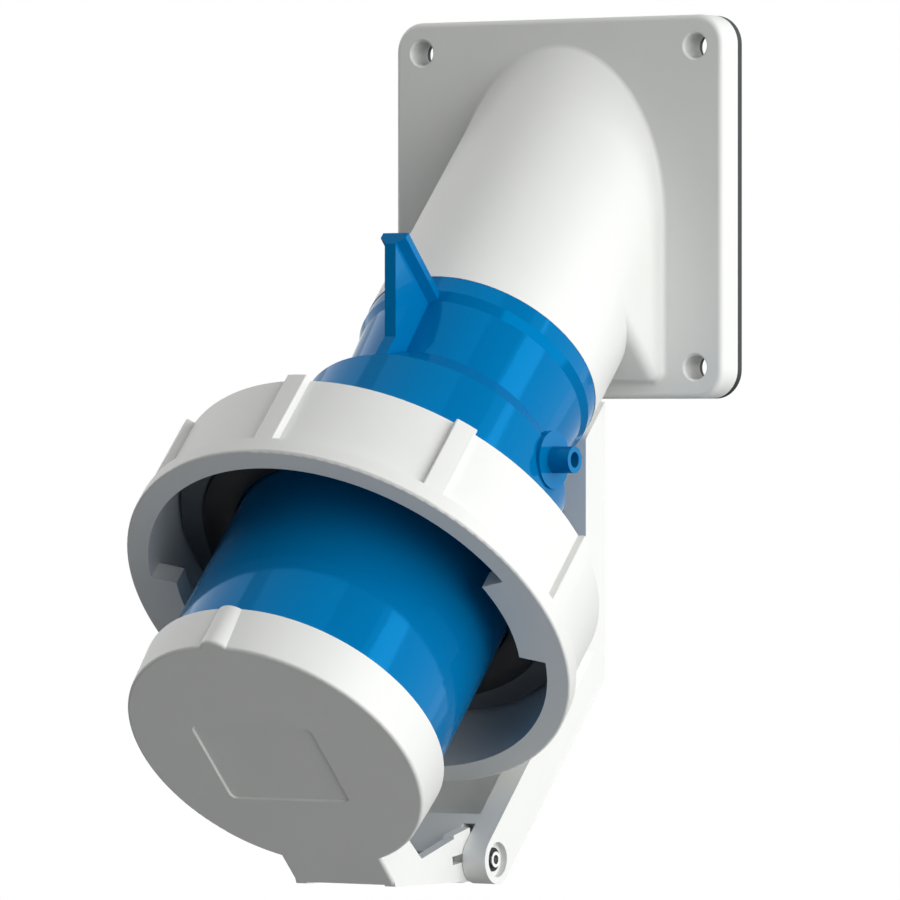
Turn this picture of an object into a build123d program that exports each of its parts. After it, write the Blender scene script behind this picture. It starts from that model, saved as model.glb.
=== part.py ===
from build123d import *
from math import cos, radians, sin
import os

# Angled flange inlet with a bayonet locking ring and a sprung lid. Lengths are in millimetres.
# World frame: X to the right when facing the wall, Y into the wall, Z up. The origin is the centre
# of the four mounting holes, on the wall. Sleeve frame: x across, h up from the sleeve axis, and s
# along the axis, away from the wall, from the point where the axis leaves the wall plate.

# Wall plate, its gasket and its holes
HOLE_SPACING = 77.0
HOLE_MARGIN = 7.5
HOLE_R = 3.0
HOLE_CHAMFER = 0.5
PLATE_T = 7.5
PLATE_CORNER_R = 7.0
PLATE_EDGE_R = 1.4
GASKET_T = 2.0
GASKET_MARGIN = 1.5
GASKET_HOLE_CLEARANCE = 0.4

# Elbow between the wall plate and the shroud
TILT = 45.0
AXIS_Z = -2.5
TUBE_R = 29.5
TUBE_WALL = 3.0
TUBE_END = 50.3
BLOCK_END = 30.0
BLOCK_MARGIN = 4.0
BLOCK_EDGE_R = 2.8
ELBOW_FOOT_R = 1.2
SOCKET_STEP = 1.0

# Blue shroud body: spigot, collar and shoulder. Blue sleeve with the flange at its foot
SPIGOT_L = 14.0
SPIGOT_WALL = 3.7
SPIGOT_CLEARANCE = 0.15
SPIGOT_END_GAP = 0.3
ORING_WIRE_R = 1.2
ORING_SETBACK = 3.3
ORING_SLACK = 0.05
COLLAR_RIM_DROP = 0.15
COLLAR_RIM_L = 4.5
COLLAR_RIM_STEP = 1.0
COLLAR_RIM_STEP_L = 2.4
COLLAR_WAIST_DROP = 2.1
COLLAR_L = 22.9
COLLAR_WALL = 3.0
SHOULDER_RISE_L = 7.4
FLANGE_STATION = 112.0
FLANGE_T = 3.5
FLANGE_MARGIN = 14.9
SLEEVE_R = 34.4
SLEEVE_WALL = 2.9
SLEEVE_END = 172.3
SLEEVE_LEAD = 1.2
KEY_W = 3.6
KEY_H = 1.0
KEY_L = 4.2
SNAP_COUNT = 4
SNAP_W = 8.0
SNAP_RAMP_L = 7.0
SNAP_HOOK = 1.2
SNAP_GAP = 0.4
SNAP_LAND = 1.6

# Catch fin on top of the collar, and the side bosses
FIN_STATION = 55.3
FIN_TOP = 48.4
FIN_WEB_T = 3.0
FIN_TEE_W = 7.0
FIN_TEE_T = 1.7
FIN_TEE_GUSSET = 1.4
FIN_CREST_L = 3.6
FIN_NOSE_DROP = 0.4
BOSS_ADVANCE = 1.3
BOSS_PAD_R = 6.8
BOSS_PAD_H = 0.5
BOSS_R = 3.15
BOSS_L = 5.5
BOSS_HOLE_R = 1.85
BOSS_HOLE_DEPTH = 5.0

# Contact carrier, pins and screws
CARRIER_DISC_T = 12.0
CARRIER_CLEARANCE = 0.2
CARRIER_SEAT_LEDGE = 1.1
CARRIER_TAIL_STATION = 89.0
CARRIER_HUB_R = 8.0
CARRIER_FIN_T = 2.0
CARRIER_FIN_GAP = 1.4
REAR_WALL = 3.1
REAR_FLOOR_STATION = 86.0
PIN_COUNT = 5
PIN_CIRCLE_MARGIN = 13.5
PIN_R = 3.0
EARTH_PIN_R = 4.0
PIN_L = 36.0
EARTH_PIN_L = 39.0
PIN_TIP_R = 1.2
EARTH_ANGLE = 90.0
PIN_HOLE_CLEARANCE = 0.05
BARREL_R = 4.8
BARREL_STATION = 94.0
BARREL_SEAT = 4.0
WIRE_BORE_R = 2.9
WIRE_BORE_L = 14.0
TERMINAL_SCREW_R = 2.4
TERMINAL_SCREW_STATION = 99.5
TERMINAL_SCREW_L = 6.2
TERMINAL_SCREW_INSET = 1.0
THREAD_CLEARANCE = 0.05
CARRIER_SCREW_R = 1.5
CARRIER_SCREW_HEAD_R = 2.8
CARRIER_SCREW_HEAD_T = 2.0
CARRIER_SCREW_L = 22.0
CARRIER_BOSS_R = 3.1
CARRIER_BOSS_SINK = 0.3
CARRIER_SCREW_SLOTS = (0, 2, 3)
SLOT_W = 0.8
SLOT_DEPTH = 0.9

# Locking ring and its gasket
RING_WALL = 3.1
RING_L = 25.2
RING_BAND_L = 4.2
RING_BAND_T = 2.5
RING_FLANGE_CLEARANCE = 0.6
RING_LIP_T = 2.6
RING_LIP_GAP = 0.4
RING_LIP_OVERLAP = 9.3
RING_EDGE_R = 0.6
RIB_COUNT = 8
RIB_W = 5.4
RIB_H = 2.0
RIB_EDGE_R = 0.4
LUG_SPAN = 31.0
LUG_T = 4.8
COLLAR_SPACE = 9.0
RING_GASKET_T = 3.2
RING_GASKET_GAP = 0.3
RING_GASKET_W = 8.2
RING_GASKET_LIP_W = 2.1
RING_GASKET_LIP_H = 1.0
RING_GASKET_RIM_T = 1.8

# Lid and its seal
LID_SKIRT_L = 11.5
LID_SLEEVE_GAP = 1.2
LID_TAPER = 0.7
LID_WALL = 1.6
LID_T = 3.0
LID_EDGE_R = 0.8
LID_KEY_SIDE_GAP = 1.0
LID_KEY_TOP_GAP = 1.3
LID_SEAL_T = 2.2
LID_SEAL_W = 4.4
LID_SEAL_GAP = 0.3
LID_SEAL_SIDE_GAP = 0.15
LID_RIB_T = 1.2
LID_RIB_H = 1.6
LABEL_W = 32.0
LABEL_H = 24.0
LABEL_X = -2.0
LABEL_Y = -2.2
LABEL_CORNER_R = 1.5
LABEL_DEPTH = 0.5
LABEL_DRAFT = 30.0
TAB_HALF_W = 13.6
TAB_DROP = 6.0
EAR_T = 2.9
EAR_NECK_BACK = 0.7
EAR_NECK_FALL = 3.9
EAR_TIP_BACK = 3.7
EAR_TIP_RISE = 6.8
EAR_KNEE_AHEAD = 3.0
EAR_KNEE_RISE = 10.1
EAR_KNEE_STEP = 0.6
EAR_BARREL_R = 5.3
EAR_SLOT_W = 2.0
EAR_SLOT_IN = 4.6
EAR_SLOT_OUT = 9.7
EAR_SLOT_OFFSET = 1.1
EAR_SLOT_ANGLE = 38.0

# Lid bracket, hinge pin and spring
BRACKET_HALF_W = 20.0
BRACKET_LEG_T = 6.2
BRACKET_DEPTH = 9.0
BRACKET_FLOOR_T = 3.0
ARM_RING_GAP = 3.2
ARM_T = 11.5
ARM_HEAD_L = 8.9
HINGE_SETBACK = 22.5
SADDLE_T = 3.5
SADDLE_L = 12.3
SADDLE_GAP = 0.1
EAR_SIDE_GAP = 0.3
EAR_SWING_GAP = 0.5
HINGE_PIN_R = 2.5
HINGE_PIN_FIT = 0.03
HINGE_RUNNING_FIT = 0.06
HINGE_PIN_INSET = 0.5
HINGE_PIN_NECK_STEP = 0.65
HINGE_PIN_DIMPLE_R = 1.1
HINGE_PIN_DIMPLE_L = 3.0
COUNTERBORE_R = 4.1
COUNTERBORE_DEPTH = 1.6
CLIP_R = 2.8
CLIP_T = 0.4
SPRING_WIRE_R = 0.55
SPRING_TURNS = 8
SPRING_PIN_GAP = 0.4
SPRING_POCKET_GAP = 0.35
SPRING_LEG_R = 7.7
SPRING_LEG_INSET = 0.2
SPRING_TAIL_L = 9.0
SPRING_TAIL_GAP = 0.05
BRACKET_SCREW_X = 8.0
BRACKET_SCREW_SETBACK = 5.1
BRACKET_SCREW_R = 1.5
BRACKET_SCREW_L = 10.4
BRACKET_SCREW_HEAD_R = 2.8
BRACKET_SCREW_HEAD_T = 2.0
BRACKET_SCREW_HEAD_GAP = 0.55
BRACKET_SCREW_SLACK = 0.2
BRACKET_SCREW_TIP_GAP = 0.4

# Places worked out from the sizes above
PLATE_SIZE = HOLE_SPACING + 2 * HOLE_MARGIN
FRONT_Y = -(GASKET_T + PLATE_T)
BLOCK_DROP = PLATE_SIZE / 2 - BLOCK_MARGIN
REACH = SLEEVE_END + PLATE_SIZE
TUBE_BORE_R = TUBE_R - TUBE_WALL
SPIGOT_R = TUBE_BORE_R - SPIGOT_CLEARANCE
SPIGOT_START = TUBE_END - SPIGOT_L
SPIGOT_BORE_R = SPIGOT_R - SPIGOT_WALL
ORING_STATION = SPIGOT_START + ORING_SETBACK
COLLAR_R = TUBE_R - COLLAR_RIM_DROP
COLLAR_WAIST_R = TUBE_R - COLLAR_WAIST_DROP
COLLAR_WAIST_STATION = TUBE_END + COLLAR_L
SLEEVE_BORE_R = SLEEVE_R - SLEEVE_WALL
REAR_BORE_R = SLEEVE_BORE_R - CARRIER_SEAT_LEDGE
SHOULDER_R = REAR_BORE_R + REAR_WALL
SHOULDER_STATION = COLLAR_WAIST_STATION + SHOULDER_RISE_L
BOSS_STATION = SHOULDER_STATION + BOSS_ADVANCE
FIN_NOSE_TOP = SHOULDER_R - FIN_NOSE_DROP
FLANGE_R = SLEEVE_R + FLANGE_MARGIN
FLANGE_FRONT = FLANGE_STATION + FLANGE_T
CARRIER_REAR = FLANGE_STATION
CARRIER_STATION = CARRIER_REAR + CARRIER_DISC_T
PIN_PITCH_R = SLEEVE_BORE_R - PIN_CIRCLE_MARGIN
CARRIER_SCREW_PITCH_R = REAR_BORE_R - CARRIER_BOSS_R + CARRIER_BOSS_SINK
CARRIER_FIN_R = CARRIER_SCREW_PITCH_R - CARRIER_BOSS_R - CARRIER_FIN_GAP
BARREL_END = CARRIER_REAR + BARREL_SEAT
RING_BORE_R = FLANGE_R + RING_FLANGE_CLEARANCE
RING_PANEL_R = RING_BORE_R + RING_WALL
RING_RIB_R = RING_PANEL_R + RIB_H
RING_BAND_R = RING_PANEL_R + RING_BAND_T
RING_LIP_FRONT = FLANGE_STATION - RING_LIP_GAP
RING_REAR_STATION = RING_LIP_FRONT - RING_LIP_T
RING_FRONT_STATION = RING_REAR_STATION + RING_L
RING_BAND_STATION = RING_FRONT_STATION - RING_BAND_L
RING_LIP_R = FLANGE_R - RING_LIP_OVERLAP
LUG_R = SLEEVE_R + COLLAR_SPACE
LID_BACK = SLEEVE_END + LID_SEAL_GAP + LID_SEAL_T
LID_FACE_STATION = LID_BACK + LID_T
LID_REAR_STATION = LID_FACE_STATION - LID_SKIRT_L
LID_BORE_R = SLEEVE_R + LID_SLEEVE_GAP
LID_RIM_R = LID_BORE_R + LID_WALL
LID_R = LID_RIM_R - LID_TAPER
LID_BUMP_R = KEY_W / 2 + LID_KEY_SIDE_GAP + LID_WALL
LID_BUMP_TOP = SLEEVE_R + KEY_H + LID_KEY_TOP_GAP + LID_WALL
TAB_BOTTOM = LID_RIM_R + TAB_DROP
EAR_NECK_STATION = LID_REAR_STATION - EAR_NECK_BACK
EAR_NECK_DROP = TAB_BOTTOM + EAR_NECK_FALL
ARM_TOP_DROP = RING_BAND_R + ARM_RING_GAP
HINGE_STATION = SLEEVE_END - HINGE_SETBACK
HINGE_H = -(ARM_TOP_DROP + ARM_T / 2)
ARM_HEAD_STATION = HINGE_STATION - ARM_HEAD_L
SADDLE_DROP = TUBE_R + SADDLE_T
SADDLE_START = TUBE_END - SADDLE_L
BRACKET_SCREW_STATION = TUBE_END - BRACKET_SCREW_SETBACK
LEG_BACK_OFFSET = BRACKET_SCREW_STATION + BRACKET_SCREW_HEAD_R + BRACKET_SCREW_HEAD_GAP - SADDLE_DROP
EAR_OUT_X = TAB_HALF_W
EAR_IN_X = TAB_HALF_W - EAR_T
LEG_IN_X = BRACKET_HALF_W - BRACKET_LEG_T
KNUCKLE_X = EAR_IN_X - EAR_SIDE_GAP
HINGE_PIN_END = BRACKET_HALF_W - HINGE_PIN_INSET
HINGE_PIN_NECK_R = HINGE_PIN_R - HINGE_PIN_NECK_STEP
CLIP_SEAT_X = BRACKET_HALF_W - COUNTERBORE_DEPTH
SPRING_COIL_R = HINGE_PIN_R + SPRING_PIN_GAP + SPRING_WIRE_R
SPRING_HALF_L = SPRING_TURNS * SPRING_WIRE_R
SPRING_POCKET_R = SPRING_COIL_R + SPRING_WIRE_R + SPRING_POCKET_GAP
SPRING_POCKET_X = SPRING_HALF_L + SPRING_POCKET_GAP

sleeve_frame = Plane(
    origin=(0, FRONT_Y, AXIS_Z),
    x_dir=(1, 0, 0),
    z_dir=(0, -cos(radians(TILT)), -sin(radians(TILT))),
)
side_view = Plane(origin=(0, 0, 0), x_dir=(0, 1, 0), z_dir=(1, 0, 0))


def in_world(shape):
    """Moves a shape from the sleeve frame to the world frame."""
    return sleeve_frame.location * shape


def span(x, y, z):
    """A box between pairs of limits along each axis."""
    centre = Pos((x[0] + x[1]) / 2, (y[0] + y[1]) / 2, (z[0] + z[1]) / 2)
    return centre * Box(x[1] - x[0], y[1] - y[0], z[1] - z[0])


def rod(radius, start, end):
    """A cylinder along the sleeve axis between two stations."""
    return Pos(0, 0, (start + end) / 2) * Cylinder(radius, end - start)


def cross_rod(radius, x0, x1, h, s):
    """A cylinder along x at height h and station s."""
    return Pos((x0 + x1) / 2, h, s) * Rot(0, 90, 0) * Cylinder(radius, x1 - x0)


def radial_rod(radius, r0, r1, s, angle):
    """A cylinder that points away from the axis, at an angle from the top towards +X."""
    spoke = Pos(0, (r0 + r1) / 2, s) * Rot(90, 0, 0) * Cylinder(radius, r1 - r0)
    return Rot(0, 0, -angle) * spoke


def turned(*points):
    """A solid of revolution about the axis, from points of radius and station."""
    return revolve(Plane.XZ * make_face(Polyline(*points, close=True)), Axis.Z)


def side_prism(points, x0, x1):
    """An outline of h and s points, extruded across from x0 to x1."""
    face = make_face(Polyline(*points, close=True))
    return Pos(x0, 0, 0) * extrude(side_view * face, amount=x1 - x0)


def around(angle, radius):
    """A location at a radius from the axis, at an angle from the top towards +X."""
    return Pos(radius * sin(radians(angle)), radius * cos(radians(angle)), 0)


def opening_outline(grow):
    """The hollow of the elbow where it meets the wall plate, as a sketch in x and z."""
    oval = Pos(0, AXIS_Z) * Ellipse(TUBE_BORE_R + grow, TUBE_BORE_R / sin(radians(TILT)) + grow)
    drop = BLOCK_DROP - TUBE_WALL + grow + AXIS_Z
    lower = Pos(0, AXIS_Z - drop / 2) * Rectangle(2 * (TUBE_BORE_R + grow), drop)
    above = Pos(0, AXIS_Z + REACH / 2) * Rectangle(REACH, REACH)
    return (oval & above) + lower


def plate_prism(sketch, y0, y1):
    """A sketch of x and z, extruded from y0 to y1."""
    return Pos(0, y1, 0) * extrude(Plane.XZ * sketch, amount=y1 - y0)


def mounting_holes(radius, y0, y1):
    """Four cylinders on the mounting pattern."""
    holes = Part()
    for x in (-HOLE_SPACING / 2, HOLE_SPACING / 2):
        for z in (-HOLE_SPACING / 2, HOLE_SPACING / 2):
            holes += Pos(x, (y0 + y1) / 2, z) * Rot(90, 0, 0) * Cylinder(radius, y1 - y0)
    return holes


def bracket_screw_places():
    """Left and right places of the two screws that hold the bracket, elbow and shroud together."""
    return (-BRACKET_SCREW_X, BRACKET_SCREW_X)


def up_rod(radius, x, h0, h1, s):
    """A cylinder along h."""
    return Pos(x, (h0 + h1) / 2, s) * Rot(90, 0, 0) * Cylinder(radius, h1 - h0)


def pin_angles():
    """Angles of the contact pins, the earth pin first."""
    return [EARTH_ANGLE + k * 360 / PIN_COUNT for k in range(PIN_COUNT)]


def carrier_screw_angles():
    """Angles of the carrier screws, midway between neighbouring pins."""
    return [EARTH_ANGLE + (k + 0.5) * 360 / PIN_COUNT for k in CARRIER_SCREW_SLOTS]


def flange_gasket():
    """Flat seal between the wall plate and the wall."""
    half = PLATE_SIZE / 2
    sheet = span((-half, half), (-GASKET_T, 0), (-half, half))
    sheet = fillet(sheet.edges().filter_by(Axis.Y), PLATE_CORNER_R)
    sheet -= plate_prism(opening_outline(GASKET_MARGIN), -GASKET_T - 1, 1)
    return sheet - mounting_holes(HOLE_R + GASKET_HOLE_CLEARANCE, -GASKET_T - 1, 1)


def elbow_housing():
    """Wall plate, inclined tube and the block under the tube, moulded in one piece."""
    half = PLATE_SIZE / 2
    plate = span((-half, half), (FRONT_Y, -GASKET_T), (-half, half))
    plate = fillet(plate.edges().filter_by(Axis.Y), PLATE_CORNER_R)
    plate = fillet(plate.faces().sort_by(Axis.Y)[0].edges(), PLATE_EDGE_R)
    before_plate = (-REACH, FRONT_Y + PLATE_EDGE_R)
    wide = (-REACH, REACH)

    block = span((-TUBE_R, TUBE_R), (-REACH, 0), (-REACH, BLOCK_END))
    block = in_world(fillet(block.edges().filter_by(Axis.Y).group_by(Axis.Z)[-1], BLOCK_EDGE_R))
    block &= span(wide, before_plate, (-BLOCK_DROP, REACH))
    block = fillet(block.edges().filter_by(Axis.Y).group_by(Axis.Z)[0], BLOCK_EDGE_R)
    tube = in_world(rod(TUBE_R, -REACH, TUBE_END)) & span(wide, before_plate, wide)
    housing = plate + block + tube
    inner_square = Pos(0, FRONT_Y, 0) * Box(PLATE_SIZE - 4 * PLATE_EDGE_R, 1, PLATE_SIZE - 4 * PLATE_EDGE_R)
    at_front = housing.edges().filter_by_position(Axis.Y, FRONT_Y - 0.01, FRONT_Y + 0.01)
    housing = fillet([edge for edge in at_front if inner_square.is_inside(edge.center())], ELBOW_FOOT_R)

    socket_start = SPIGOT_START - SPIGOT_END_GAP
    hollow = rod(TUBE_BORE_R - SOCKET_STEP, -REACH, socket_start)
    hollow += rod(TUBE_BORE_R, socket_start, TUBE_END + 1)
    room = in_world(span((-TUBE_BORE_R, TUBE_BORE_R), (-REACH, 0), (-REACH, BLOCK_END - TUBE_WALL)))
    room &= span(wide, (-REACH, FRONT_Y), (-(BLOCK_DROP - TUBE_WALL), REACH))
    housing -= room
    housing -= in_world(hollow) & span(wide, (-REACH, FRONT_Y), wide)
    housing -= plate_prism(opening_outline(0), FRONT_Y, 1)

    housing -= mounting_holes(HOLE_R, FRONT_Y - 1, 1)
    for x in (-HOLE_SPACING / 2, HOLE_SPACING / 2):
        for z in (-HOLE_SPACING / 2, HOLE_SPACING / 2):
            mouth = Cone(HOLE_R, HOLE_R + HOLE_CHAMFER, HOLE_CHAMFER)
            housing -= Pos(x, FRONT_Y + HOLE_CHAMFER / 2, z) * Rot(90, 0, 0) * mouth
    for x in bracket_screw_places():
        hole_r = BRACKET_SCREW_R + BRACKET_SCREW_SLACK
        housing -= in_world(up_rod(hole_r, x, -SADDLE_DROP, 0, BRACKET_SCREW_STATION))
    return housing


def shroud_shell():
    """The turned form of the shroud body: a rim against the elbow, a waist, and a conical shoulder."""
    rim_end = TUBE_END + COLLAR_RIM_L
    return turned(
        (COLLAR_WAIST_R, COLLAR_WAIST_STATION),
        (COLLAR_R - COLLAR_RIM_STEP, rim_end + COLLAR_RIM_STEP_L),
        (COLLAR_R, rim_end),
        (COLLAR_R, TUBE_END),
        (SPIGOT_R, TUBE_END),
        (SPIGOT_R, SPIGOT_START),
        (SPIGOT_BORE_R, SPIGOT_START),
        (SPIGOT_BORE_R, TUBE_END),
        (COLLAR_WAIST_R - COLLAR_WALL, COLLAR_WAIST_STATION),
        (COLLAR_WAIST_R - COLLAR_WALL, REAR_FLOOR_STATION),
        (REAR_BORE_R, REAR_FLOOR_STATION),
        (REAR_BORE_R, FLANGE_STATION),
        (SHOULDER_R, FLANGE_STATION),
        (SHOULDER_R, SHOULDER_STATION),
    )


def catch_fin():
    """The triangular catch on top of the collar, with a tee along its back."""
    root = COLLAR_WAIST_R - COLLAR_WALL / 2
    web_back = FIN_STATION + FIN_TEE_T
    crest = FIN_STATION + FIN_CREST_L
    nose = crest + FIN_TOP - FIN_NOSE_TOP
    web = side_prism(
        [
            (root, web_back),
            (FIN_TOP, web_back),
            (FIN_TOP, crest),
            (FIN_NOSE_TOP, nose),
            (FIN_NOSE_TOP, SHOULDER_STATION),
            (root, SHOULDER_STATION),
        ],
        -FIN_WEB_T / 2,
        FIN_WEB_T / 2,
    )
    tee = Polyline(
        (-FIN_TEE_W / 2, FIN_STATION),
        (FIN_TEE_W / 2, FIN_STATION),
        (FIN_TEE_W / 2, web_back),
        (FIN_WEB_T / 2, web_back + FIN_TEE_GUSSET),
        (-FIN_WEB_T / 2, web_back + FIN_TEE_GUSSET),
        (-FIN_TEE_W / 2, web_back),
        close=True,
    )
    tee_face = Plane(origin=(0, FIN_TOP, 0), x_dir=(1, 0, 0), z_dir=(0, -1, 0)) * make_face(tee)
    return web + extrude(tee_face, amount=FIN_TOP - root)


def side_boss(side):
    """A hollow post on a round pad, on the left (-1) or right (+1) of the body."""
    pad_x = SHOULDER_R + BOSS_PAD_H
    root_x = SHOULDER_R - REAR_WALL / 2
    post_x = pad_x + BOSS_L
    boss = cross_rod(BOSS_PAD_R, root_x, pad_x, 0, BOSS_STATION)
    boss += cross_rod(BOSS_R, root_x, post_x, 0, BOSS_STATION)
    boss -= cross_rod(BOSS_HOLE_R, post_x - BOSS_HOLE_DEPTH, post_x + 1, 0, BOSS_STATION)
    return boss if side > 0 else Rot(0, 0, 180) * boss


def ring_snaps():
    """Ramps that let the locking ring slide on from behind and then hold it."""
    hook = RING_REAR_STATION - SNAP_GAP
    top = RING_LIP_R + SNAP_HOOK
    ramp = turned(
        (SHOULDER_R - REAR_WALL / 2, hook - SNAP_LAND - SNAP_RAMP_L),
        (SHOULDER_R, hook - SNAP_LAND - SNAP_RAMP_L),
        (top, hook - SNAP_LAND),
        (top, hook),
        (SHOULDER_R - REAR_WALL / 2, hook),
    )
    snaps = Part()
    for k in range(SNAP_COUNT):
        slot = span((-SNAP_W / 2, SNAP_W / 2), (0, REACH), (0, REACH))
        snaps += ramp & (Rot(0, 0, 45 + k * 360 / SNAP_COUNT) * slot)
    return snaps


def shroud_body():
    """Blue moulding that joins the elbow to the sleeve and carries the catch and the side bosses."""
    body = shroud_shell()
    groove_r = TUBE_BORE_R - 2 * ORING_WIRE_R - ORING_SLACK
    groove_start = ORING_STATION - ORING_WIRE_R - ORING_SLACK
    groove_end = ORING_STATION + ORING_WIRE_R + ORING_SLACK
    body -= turned(
        (groove_r, groove_start),
        (SPIGOT_R + 1, groove_start),
        (SPIGOT_R + 1, groove_end),
        (groove_r, groove_end),
    )
    body += catch_fin()
    body += side_boss(1)
    body += side_boss(-1)
    body += ring_snaps()
    for angle in carrier_screw_angles():
        place = around(angle, CARRIER_SCREW_PITCH_R)
        boss = place * rod(CARRIER_BOSS_R, REAR_FLOOR_STATION - 1, CARRIER_REAR)
        body += boss & rod(SHOULDER_R - REAR_WALL / 2, 0, REACH)
        hole_end = CARRIER_STATION - CARRIER_SCREW_HEAD_T - CARRIER_SCREW_L - 1
        body -= place * rod(CARRIER_SCREW_R + THREAD_CLEARANCE, hole_end, CARRIER_REAR + 1)
    for x in bracket_screw_places():
        tip = -SADDLE_DROP + BRACKET_SCREW_L + BRACKET_SCREW_TIP_GAP
        body -= up_rod(BRACKET_SCREW_R + THREAD_CLEARANCE, x, -SADDLE_DROP, tip, BRACKET_SCREW_STATION)
    return body


def inlet_sleeve():
    """Blue sleeve round the pins, with the flange for the ring at its foot and a key at its mouth."""
    sleeve = turned(
        (SLEEVE_BORE_R, FLANGE_STATION),
        (FLANGE_R, FLANGE_STATION),
        (FLANGE_R, FLANGE_FRONT),
        (SLEEVE_R, FLANGE_FRONT),
        (SLEEVE_R, SLEEVE_END - SLEEVE_LEAD),
        (SLEEVE_R - SLEEVE_LEAD, SLEEVE_END),
        (SLEEVE_BORE_R, SLEEVE_END),
    )
    key_end = SLEEVE_END - SLEEVE_LEAD
    return sleeve + span(
        (-KEY_W / 2, KEY_W / 2),
        (SLEEVE_R - SLEEVE_WALL / 2, SLEEVE_R + KEY_H),
        (key_end - KEY_L, key_end),
    )


def body_o_ring():
    """Round-section seal between the spigot and the elbow's socket."""
    wire = Pos(TUBE_BORE_R - ORING_WIRE_R, ORING_STATION) * Circle(ORING_WIRE_R)
    return revolve(Plane.XZ * wire, Axis.Z)


def contact_carrier():
    """Insulating disc with a star of walls behind it, one bay for each terminal."""
    disc_r = SLEEVE_BORE_R - CARRIER_CLEARANCE
    carrier = rod(disc_r, CARRIER_REAR, CARRIER_STATION)
    carrier += rod(CARRIER_HUB_R, CARRIER_TAIL_STATION, CARRIER_STATION)
    for angle in pin_angles():
        wall = span(
            (-CARRIER_FIN_T / 2, CARRIER_FIN_T / 2),
            (0, CARRIER_FIN_R),
            (CARRIER_TAIL_STATION, CARRIER_STATION),
        )
        carrier += Rot(0, 0, -(angle + 180 / PIN_COUNT)) * wall
    for k, angle in enumerate(pin_angles()):
        place = around(angle, PIN_PITCH_R)
        pin_r = EARTH_PIN_R if k == 0 else PIN_R
        carrier -= place * rod(pin_r + PIN_HOLE_CLEARANCE, CARRIER_TAIL_STATION, CARRIER_STATION + 1)
        carrier -= place * rod(BARREL_R + PIN_HOLE_CLEARANCE, CARRIER_TAIL_STATION - 1, BARREL_END)
    for angle in carrier_screw_angles():
        place = around(angle, CARRIER_SCREW_PITCH_R)
        carrier -= place * rod(CARRIER_SCREW_R + BRACKET_SCREW_SLACK, CARRIER_REAR - 1, CARRIER_STATION + 1)
        seat = CARRIER_STATION - CARRIER_SCREW_HEAD_T
        carrier -= place * rod(CARRIER_SCREW_HEAD_R + BRACKET_SCREW_SLACK, seat, CARRIER_STATION + 1)
    return carrier


def contact_pin(angle, radius, length):
    """Turned pin with a rounded tip, and a barrel behind it with a wire bore and a screw hole."""
    pin = rod(radius, BARREL_END - 1, CARRIER_STATION + length)
    pin = fillet(pin.edges().group_by(Axis.Z)[-1], PIN_TIP_R)
    pin += rod(BARREL_R, BARREL_STATION, BARREL_END)
    pin -= rod(WIRE_BORE_R, BARREL_STATION - 1, BARREL_STATION + WIRE_BORE_L)
    pin = around(angle, PIN_PITCH_R) * pin
    hole_r = TERMINAL_SCREW_R + THREAD_CLEARANCE
    return pin - radial_rod(hole_r, PIN_PITCH_R, PIN_PITCH_R + 2 * BARREL_R, TERMINAL_SCREW_STATION, angle)


def terminal_screws():
    """One slotted clamp screw in each pin's barrel."""
    screws = []
    for angle in pin_angles():
        start = PIN_PITCH_R + TERMINAL_SCREW_INSET
        end = start + TERMINAL_SCREW_L
        screw = radial_rod(TERMINAL_SCREW_R, start, end, TERMINAL_SCREW_STATION, angle)
        slot = span(
            (-REACH, REACH), (end - SLOT_DEPTH, end + 1), (-SLOT_W / 2, SLOT_W / 2)
        )
        across = span((-2 * TERMINAL_SCREW_R, 2 * TERMINAL_SCREW_R), (0, REACH), (-REACH, REACH))
        screws.append(screw - Rot(0, 0, -angle) * (Pos(0, 0, TERMINAL_SCREW_STATION) * (slot & across)))
    return Compound(children=screws)


def carrier_screws():
    """Screws that hold the contact carrier to the bosses inside the body."""
    seat = CARRIER_STATION - CARRIER_SCREW_HEAD_T
    screws = []
    for angle in carrier_screw_angles():
        screw = rod(CARRIER_SCREW_HEAD_R, seat, CARRIER_STATION)
        screw += rod(CARRIER_SCREW_R, seat - CARRIER_SCREW_L, seat)
        screw -= span((-SLOT_W / 2, SLOT_W / 2), (-REACH, REACH), (CARRIER_STATION - SLOT_DEPTH, REACH))
        screws.append(around(angle, CARRIER_SCREW_PITCH_R) * screw)
    return Compound(children=screws)


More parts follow.
